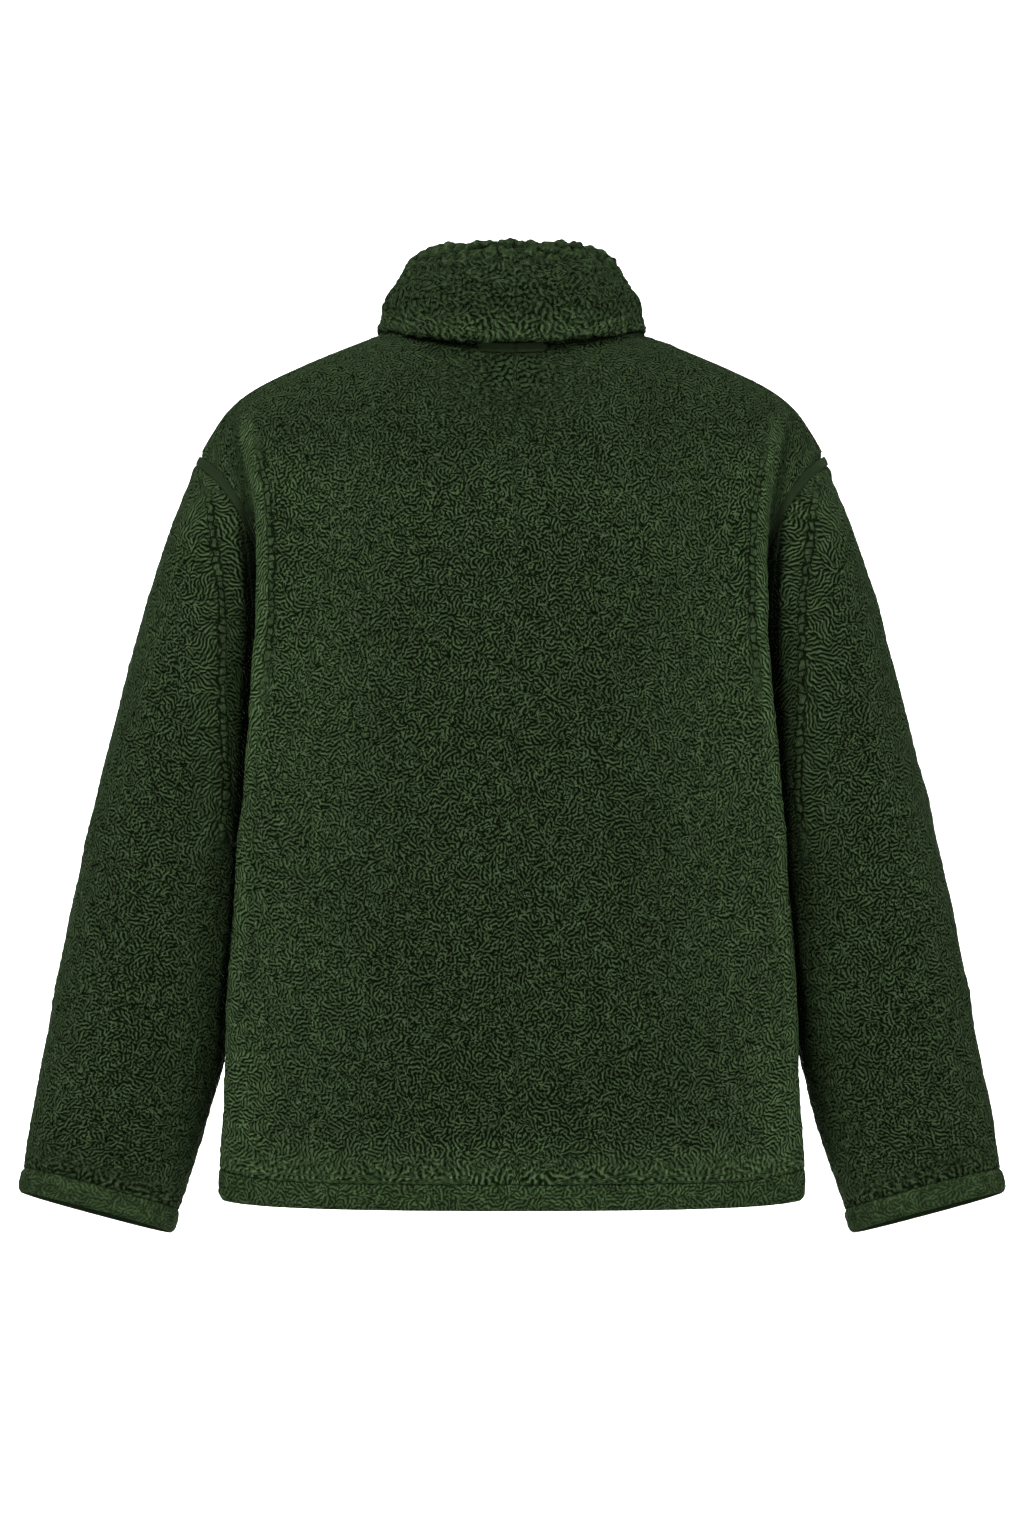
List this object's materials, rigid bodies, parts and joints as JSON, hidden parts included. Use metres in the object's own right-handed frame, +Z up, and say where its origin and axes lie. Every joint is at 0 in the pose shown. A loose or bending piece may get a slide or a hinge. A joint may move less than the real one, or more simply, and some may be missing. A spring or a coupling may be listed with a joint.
{
  "type": "fleece jacket",
  "caption": "Plain high-pile fleece jacket with a turned-down collar, taped seams, a front zip and clipped-pile hem and cuffs.",
  "frame": {"origin": "middle of the neck opening, level with the two side neck points", "axes": "+Z up out of the neck, +Y towards the back of the jacket, +X towards the wearer's left sleeve"},
  "size_m": [0.77, 0.256, 0.7624],
  "materials": {
    "pile_fleece": "matte",
    "clipped_fleece": "matte",
    "seam_tape": "matte",
    "zip_tape": "matte",
    "zip_teeth": "satin",
    "dark_metal": "satin"
  },
  "bodies": {
    "jacket": {"back": "pile_fleece", "front_left": "pile_fleece", "front_right": "pile_fleece", "sleeve_left": "pile_fleece", "sleeve_right": "pile_fleece", "collar": "pile_fleece", "hem_band": "clipped_fleece", "cuff_band_left": "clipped_fleece", "cuff_band_right": "clipped_fleece", "shoulder_tape_left": "seam_tape", "shoulder_tape_right": "seam_tape", "armhole_tape_left": "seam_tape", "armhole_tape_right": "seam_tape", "neck_tape": "seam_tape", "zip_tape_left": "zip_tape", "zip_tape_right": "zip_tape", "zip_chain": "zip_teeth", "zip_slider": "dark_metal", "zip_box": "dark_metal"},
    "pull_tab": {"zip_pull": "dark_metal"}
  },
  "joints": [
    {"name": "pull_hinge", "type": "hinge", "parent": "jacket", "child": "pull_tab", "pos_m": [0, -0.09166, -0.07434], "axis": [-1, 0, 0], "range_deg": [0, 150]}
  ]
}
